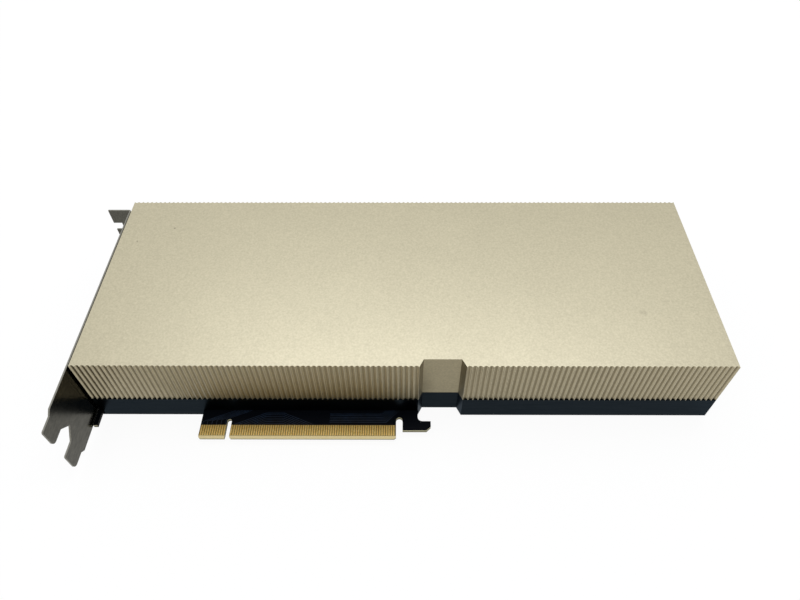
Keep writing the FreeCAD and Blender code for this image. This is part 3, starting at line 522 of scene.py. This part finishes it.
def makeDarkNickel():
    look = bracketLook
    material, tree = newMaterial("darkNickelSteel")
    fine = grain(tree, look["grainMm"], detail=3.0, stretch=look["grainStretch"])
    flat = toneAlong(tree, fine, linear(look["dark"]), linear(look["light"]))
    drag = grain(tree, look["dragMm"], detail=2.0, stretch=look["dragStretch"])
    sheared = toneAlong(tree, drag, linear(look["edgeDark"]), linear(look["edge"]))
    here = addNode(tree, "ShaderNodeTexCoord").outputs["Object"]
    x = addNode(tree, "ShaderNodeSeparateXYZ", inputs={0: here}).outputs["X"]
    outwards = addNode(tree, "ShaderNodeNewGeometry").outputs["True Normal"]
    size = addNode(tree, "ShaderNodeVectorMath", {"operation": "ABSOLUTE"}, {0: outwards}).outputs["Vector"]
    slope = addNode(tree, "ShaderNodeSeparateXYZ", inputs={0: size}).outputs
    # the plate's flats look along X, and the bent tab's along Y
    onTab = addNode(tree, "ShaderNodeMath", {"operation": "LESS_THAN"}, {
        0: x, 1: (boxMm("slot_bracket")[1].x - look["plateMm"]) * mm,
    })
    tabFlat = addNode(tree, "ShaderNodeMath", {"operation": "MULTIPLY"}, {0: onTab.outputs[0], 1: slope["Y"]})
    facing = addNode(tree, "ShaderNodeMath", {"operation": "MAXIMUM"}, {0: slope["X"], 1: tabFlat.outputs[0]})
    isFlat = addNode(tree, "ShaderNodeMath", {"operation": "GREATER_THAN"}, {
        0: facing.outputs[0], 1: look["flatSlope"],
    })
    base = addNode(tree, "ShaderNodeMix", {"data_type": "RGBA"}, {0: isFlat.outputs[0], 6: sheared, 7: flat})
    gloss = addNode(tree, "ShaderNodeMapRange", inputs={
        "Value": isFlat.outputs[0], "To Min": look["edgeRoughness"], "To Max": look["roughness"],
    })
    ripple = addNode(tree, "ShaderNodeBump", inputs={
        "Height": fine, "Strength": look["rippleStrength"], "Distance": look["rippleMm"] * mm,
    })
    surface = addNode(tree, "ShaderNodeBsdfPrincipled", inputs={
        "Base Color": base.outputs[2],
        "Metallic": 1.0,
        "Roughness": gloss.outputs[0],
        "Normal": ripple.outputs["Normal"],
    })
    addNode(tree, "ShaderNodeOutputMaterial", inputs={"Surface": surface.outputs["BSDF"]})
    return material


# screws: turned steel, black zinc plated, with a six lobe recess, all in mm
screwLook = {
    "headRadius": 2.3,
    "shankRadius": 1.2,
    "tip": 0.3,              # bevel at the end of the shank
    "driveRadius": 0.95,
    "driveDepth": 0.6,
    "driveTaper": 0.9,       # width of the recess's floor over its mouth
    "lobes": 6,
    "lobe": 0.24,
    "rim": 0.1,
    "segments": 48,
    "dome": ((1.45, 0.0), (1.95, 0.14), (2.2, 0.42)),   # radius and depth of a pan head's rings
    "domeSide": (0.8, 1.1),  # depths where its upright side starts and ends
    # the places below are from the middle of each group of screws
    "casePlaces": (
        (-124.75, -43.825), (-124.75, 43.825), (16.0, -40.075), (16.0, 43.825), (124.75, -43.825), (124.75, 43.825),
    ),
    "sinkPlaces": ((-32.6, -32.6), (-32.6, 32.6), (32.6, -32.6), (32.6, 32.6)),
    "bracketPlaces": (-31.825, 31.825),
}


# rings of points from the bottom of the recess over the head and down the shank, each (radius, depth, is lobed)
def addScrew(mesh, face, inwards, profile):
    look = screwLook
    side = inwards.orthogonal().normalized()
    other = inwards.cross(side)
    rings = []
    for radius, depth, isLobed in profile:
        ring = []
        for at in range(look["segments"]):
            turn = 2 * math.pi * at / look["segments"]
            inset = look["lobe"] * (1 - math.cos(look["lobes"] * turn)) / 2
            reach = radius - inset if isLobed else radius
            spot = face + inwards * depth + side * (reach * math.cos(turn)) + other * (reach * math.sin(turn))
            ring.append(mesh.verts.new(spot * mm))
        rings.append(ring)
    for first, second in zip(rings, rings[1:]):
        for at in range(look["segments"]):
            following = (at + 1) % look["segments"]
            mesh.faces.new((first[at], first[following], second[following], second[at]))
    mesh.faces.new(reversed(rings[0]))
    mesh.faces.new(rings[-1])


def recessRings():
    look = screwLook
    floor = look["driveRadius"] * look["driveTaper"]
    return [(floor, look["driveDepth"], True), (look["driveRadius"], 0.0, True)]


def shankRings(start, length):
    look = screwLook
    return [
        (look["shankRadius"], start, False),
        (look["shankRadius"], length - look["tip"], False),
        (look["shankRadius"] - look["tip"], length, False),
    ]


def countersunk(length):
    look = screwLook
    neck = look["headRadius"] - look["shankRadius"]
    return recessRings() + [
        (look["headRadius"] - look["rim"], 0.0, False),
        (look["headRadius"], look["rim"] / 2, False),
    ] + shankRings(neck, length)


def panHead(length):
    look = screwLook
    dome = [(radius, depth, False) for radius, depth in look["dome"]]
    side = [(look["headRadius"], depth, False) for depth in look["domeSide"]]
    return recessRings() + dome + side + shankRings(look["domeSide"][1], length)


def makeScrews(material):
    look = screwLook
    groups = (("caseScrewHeads", "case_screws", look["casePlaces"]),
              ("sinkScrewHeads", "heat_sink_screws", look["sinkPlaces"]))
    for name, replaced, places in groups:
        low, high = boxMm(replaced)
        middle = (low + high) / 2
        mesh = bmesh.new()
        for x, y in places:
            face = Vector((middle.x + x, middle.y + y, low.z))
            addScrew(mesh, face, Vector((0, 0, 1)), countersunk(high.z - low.z))
        newPiece(name, mesh, material, replaced)
    low, high = boxMm("bracket_screws")
    middle = (low + high) / 2
    mesh = bmesh.new()
    for y in look["bracketPlaces"]:
        face = Vector((low.x, middle.y + y, middle.z))
        addScrew(mesh, face, Vector((1, 0, 0)), panHead(high.x - low.x))
    newPiece("bracketScrewHeads", mesh, material, "bracket_screws")


# inner and small parts: dark and light colour, metallic, roughness, grain in mm, bump depth in mm
innerPits = 0.3              # strength of all these bumps
innerLooks = {
    "finAluminium": ("#A9ACAF", "#C6C9CB", 1.0, 0.32, 1.2, 0.01),     # bare rolled sheet, pale soft mirror
    "nickelCopper": ("#9C958A", "#B5ADA0", 1.0, 0.3, 2.0, 0.01),      # plated copper, warm grey mirror
    "polyesterFilm": ("#15161A", "#1B1D22", 0.0, 0.35, 4.0, 0.01),    # black film with a slight wave and sheen
    "zincSteel": ("#3A3B3E", "#56585C", 1.0, 0.34, 0.5, 0.01),        # black zinc plating, dark mottled gloss
    "resinSubstrate": ("#1F4A33", "#2A5B40", 0.0, 0.4, 0.8, 0.01),    # green solder mask over laminate
    "stainlessSteel": ("#9A9B9C", "#B2B3B4", 1.0, 0.35, 0.6, 0.01),   # stamped plate, even grey
    "siliconDie": ("#3B3F48", "#474C57", 1.0, 0.12, 6.0, 0.001),      # ground silicon, dark blue-grey mirror
    "thermalGrease": ("#8C8E90", "#A3A5A7", 0.0, 0.6, 1.5, 0.03),     # printed paste, dull and lumpy
    "ferriteCore": ("#2E2F31", "#3B3C3F", 0.0, 0.55, 0.5, 0.02),      # pressed powder, dull and sandy
    "siliconePad": ("#8FA0AD", "#A2B2BE", 0.0, 0.7, 0.7, 0.03),       # filled silicone rubber, chalky
    "epoxyPackage": ("#17181A", "#202123", 0.0, 0.5, 0.4, 0.01),      # moulded epoxy, matt as its eroded mould
    "canAluminium": ("#B4B6B8", "#CDCFD0", 1.0, 0.28, 0.8, 0.01),     # deep drawn can, bright
    "ceramicBody": ("#8A6A4C", "#A07E5E", 0.0, 0.4, 0.5, 0.01),       # fired ceramic, brown and smooth
    "glassNylon": ("#121315", "#1B1C1F", 0.0, 0.45, 0.3, 0.02),       # moulded, glass fibres roughen its skin
    "tinnedBrass": ("#B9B39E", "#CFC9B6", 1.0, 0.3, 0.6, 0.01),       # tin plating, warm pale mirror
}


def makeInner(name):
    dark, light, metallic, roughness, grainMm, depthMm = innerLooks[name]
    material, tree = newMaterial(name)
    fine = grain(tree, grainMm, detail=3.0)
    pits = addNode(tree, "ShaderNodeBump", inputs={"Height": fine, "Strength": innerPits, "Distance": depthMm * mm})
    surface = addNode(tree, "ShaderNodeBsdfPrincipled", inputs={
        "Base Color": toneAlong(tree, fine, linear(dark), linear(light)),
        "Metallic": metallic,
        "Roughness": roughness,
        "Normal": pits.outputs["Normal"],
    })
    addNode(tree, "ShaderNodeOutputMaterial", inputs={"Surface": surface.outputs["BSDF"]})
    return material


# power inlet: moulded glass-filled nylon with eight keyed cells, four square and four with two corners cut, in mm
inletLook = {
    "edge": 0.4,
    "pitch": 4.2,
    "cell": 3.3,
    "cellDepth": 10.0,
    "cutCorner": 0.95,
    "columns": 4,
    "leadIn": 0.25,
    "latchWidth": 5.0,
    "latchHeight": 1.4,
    "latchLength": 3.0,
    "latchBehind": 4.5,      # how far behind the front the latch ramp starts
    "latchTop": 0.8,         # length of its level top
    "latchToe": 0.35,        # height where the ramp ends
}


# corners of one cell's mouth, anticlockwise from the power end
def cellCorners(half, cut):
    corners = [(-half, -half), (half, -half)]
    if cut:
        return corners + [(half, half - cut), (half - cut, half), (cut - half, half), (-half, half - cut)]
    return corners + [(half, half), (-half, half)]


def makePowerInlet(material):
    look = inletLook
    halfCell = look["cell"] / 2
    inletLow, inletHigh = boxMm("power_inlet")
    frontX = inletHigh.x
    halfWide = (inletHigh.y - inletLow.y) / 2
    halfHigh = (inletHigh.z - inletLow.z - look["latchHeight"]) / 2
    middleY = (inletLow.y + inletHigh.y) / 2
    middleZ = inletLow.z + halfHigh
    mesh = bmesh.new()

    def corner(x, y, z):
        return mesh.verts.new((x * mm, (middleY + y) * mm, (middleZ + z) * mm))

    def ring(x, shape, y=0.0, z=0.0):
        return [corner(x, y + across, z + up) for across, up in shape]

    def join(first, second):
        for at in range(len(first)):
            following = (at + 1) % len(first)
            mesh.faces.new((first[at], second[at], second[following], first[following]))

    # outside of the housing, with its long edges cut at 45 degrees
    edge = look["edge"]
    wide, high = halfWide - edge, halfHigh - edge
    outline = [(-halfWide, -high), (-wide, -halfHigh), (wide, -halfHigh), (halfWide, -high),
               (halfWide, high), (wide, halfHigh), (-wide, halfHigh), (-halfWide, high)]
    back = ring(inletLow.x, outline)
    front = ring(frontX, outline)
    join(front, back)
    mesh.faces.new(back)
    # front face: one filled border round all eight mouths, then each mouth's lead-in, walls and floor
    sides = len(outline)
    borders = [mesh.edges.get((front[at], front[(at + 1) % sides])) for at in range(sides)]
    mouths = []
    for column in range(look["columns"]):
        for row in (-1, 1):
            y = (column - (look["columns"] - 1) / 2) * look["pitch"]
            z = row * look["pitch"] / 2
            cut = look["cutCorner"] if (column + (row > 0)) % 2 else 0
            half = halfCell + look["leadIn"]
            mouth = ring(frontX, cellCorners(half, cut), y, z)
            inside = ring(frontX - look["leadIn"], cellCorners(halfCell, cut), y, z)
            floor = ring(frontX - look["cellDepth"], cellCorners(halfCell, cut), y, z)
            mouths += [mesh.edges.new((mouth[at], mouth[(at + 1) % len(mouth)])) for at in range(len(mouth))]
            join(inside, mouth)
            join(floor, inside)
            mesh.faces.new(floor)
    bmesh.ops.triangle_fill(mesh, edges=borders + mouths, use_beauty=True, normal=(1, 0, 0))
    # ramp that the plug's latch snaps over
    latchHalf = look["latchWidth"] / 2
    start = frontX - look["latchBehind"]
    end = start + look["latchLength"]
    top = halfHigh + look["latchHeight"]
    profile = [(start, halfHigh), (start, top), (start + look["latchTop"], top),
               (end, halfHigh + look["latchToe"]), (end, halfHigh)]
    near = [corner(x, -latchHalf, z) for x, z in profile]
    far = [corner(x, latchHalf, z) for x, z in profile]
    join(near, far)
    mesh.faces.new(reversed(near))
    mesh.faces.new(far)
    bmesh.ops.recalc_face_normals(mesh, faces=mesh.faces)
    return newPiece("keyedPowerInlet", mesh, material, "power_inlet")


print("making materials")
blackAnodised = makeAnodisedBlack()
inner = {name: makeInner(name) for name in innerLooks}
dress(makeAnodisedGold(), "cover")
dress(blackAnodised, "base_frame", "back_plate")
dress(makeSolderMask(), "circuit_board")
dress(makeHardGold(), "upper_contacts", "lower_contacts")
dress(makeDarkNickel(), "slot_bracket")
for finish, names in {
    "finAluminium": ["fin_stack"],
    "nickelCopper": ["vapour_chamber"],
    "polyesterFilm": ["insulator_sheet"],
    "zincSteel": ["bracket_screws", "case_screws", "heat_sink_screws"],
    "resinSubstrate": ["processor_substrate"],
    "stainlessSteel": ["stiffener_ring"],
    "siliconDie": ["processor_die", "memory_stacks"],
    "thermalGrease": ["thermal_paste"],
    "ferriteCore": ["power_chokes", "input_choke"],
    "siliconePad": ["choke_pads", "stage_pads", "rear_thermal_pads"],
    "epoxyPackage": ["power_stages", "controller_chips", "flash_chip"],
    "canAluminium": ["polymer_capacitors", "input_capacitors"],
    "ceramicBody": ["rear_capacitors"],
    "glassNylon": ["power_inlet"],
    "tinnedBrass": ["inlet_pins"],
}.items():
    dress(inner[finish], *names)

print("making traces, screws and power inlet")
makeTraces(makeCoveredCopper())
makeScrews(inner["zincSteel"])
makePowerInlet(inner["glassNylon"])


# studio: white floor and backdrop, one large softbox above and behind
studio = {
    "floorSize": 8.0,        # metres, as all sizes and places of the studio are
    "floorDrop": 0.0001,     # just below the card, so that the two don't share a plane
    "floorColour": "#FCFCFB",
    "floorWhite": 0.93,      # share of plain white in what the camera sees of the floor
    "mirroredWhite": 0.6,    # the same in what metal or glass shows of it, where the card's own shadow darkens it
    "worldStrength": 0.85,
    "boxSize": (0.9, 0.5),
    "boxColour": (0.96, 0.99, 1.12),
    "boxPlace": (0.03, 0.24, 0.85),
    "boxAim": (0.0, 0.0, 0.0),
    "boxPower": 2.7,
}


# one share where the camera looks straight at something, another where metal or glass shows it
def seenDirectly(tree, direct, mirrored):
    path = addNode(tree, "ShaderNodeLightPath").outputs
    through = addNode(tree, "ShaderNodeMath", {"operation": "MAXIMUM"}, {
        0: path["Is Glossy Ray"], 1: path["Is Transmission Ray"],
    })
    inMirror = addNode(tree, "ShaderNodeMath", {"operation": "MULTIPLY"}, {0: through.outputs[0], 1: mirrored})
    plain = addNode(tree, "ShaderNodeMath", {"operation": "MULTIPLY"}, {0: path["Is Camera Ray"], 1: direct})
    share = addNode(tree, "ShaderNodeMath", {"operation": "MAXIMUM"}, {0: plain.outputs[0], 1: inMirror.outputs[0]})
    return share.outputs[0]


def makeFloor():
    half = studio["floorSize"] / 2
    mesh = bpy.data.meshes.new("studioFloor")
    mesh.from_pydata([(-half, -half, 0), (half, -half, 0), (half, half, 0), (-half, half, 0)], [], [(0, 1, 2, 3)])
    floor = bpy.data.objects.new("studioFloor", mesh)
    bpy.context.scene.collection.objects.link(floor)
    floor.location.z = -studio["floorDrop"]
    material, tree = newMaterial("whitePaper")
    paper = addNode(tree, "ShaderNodeBsdfDiffuse", inputs={"Color": linear(studio["floorColour"])})
    glow = addNode(tree, "ShaderNodeEmission", inputs={"Strength": 1.0})
    share = seenDirectly(tree, studio["floorWhite"], studio["mirroredWhite"])
    mixed = addNode(tree, "ShaderNodeMixShader", inputs={0: share, 1: paper.outputs[0], 2: glow.outputs[0]})
    addNode(tree, "ShaderNodeOutputMaterial", inputs={"Surface": mixed.outputs[0]})
    mesh.materials.append(material)


def makeWorld():
    world = bpy.data.worlds.new("studioWorld")
    bpy.context.scene.world = world
    world.use_nodes = True
    tree = world.node_tree
    tree.nodes.clear()
    strength = addNode(tree, "ShaderNodeMapRange", inputs={
        "Value": seenDirectly(tree, 1.0, 1.0), "To Min": studio["worldStrength"], "To Max": 1.0,
    })
    sky = addNode(tree, "ShaderNodeBackground", inputs={"Color": (1, 1, 1, 1), "Strength": strength.outputs[0]})
    addNode(tree, "ShaderNodeOutputWorld", inputs={"Surface": sky.outputs[0]})


def makeSoftbox():
    light = bpy.data.lights.new("softbox", "AREA")
    light.shape = "RECTANGLE"
    light.size, light.size_y = studio["boxSize"]
    light.energy = studio["boxPower"]
    light.color = studio["boxColour"]
    lamp = bpy.data.objects.new("softbox", light)
    lamp.location = studio["boxPlace"]
    aim = Vector(studio["boxAim"]) - Vector(studio["boxPlace"])
    lamp.rotation_euler = aim.to_track_quat("-Z", "Y").to_euler()
    bpy.context.scene.collection.objects.link(lamp)


# camera, above the connector side
cameraSet = {
    "place": (0.00033, -0.186645, 0.24766),
    "turnDegrees": (39.521, 0.247, 0.28),
    "lensMm": 28.17,
    "sensorMm": 36.0,
    "nearest": 0.01,
}


def makeCamera():
    data = bpy.data.cameras.new("camera")
    data.lens = cameraSet["lensMm"]
    data.sensor_width = cameraSet["sensorMm"]
    data.clip_start = cameraSet["nearest"]
    camera = bpy.data.objects.new("camera", data)
    camera.location = cameraSet["place"]
    camera.rotation_euler = [math.radians(turn) for turn in cameraSet["turnDegrees"]]
    bpy.context.scene.collection.objects.link(camera)
    bpy.context.scene.camera = camera


print("setting up the studio")
makeFloor()
makeWorld()
makeSoftbox()
makeCamera()
bpy.context.scene.view_settings.view_transform = "Standard"
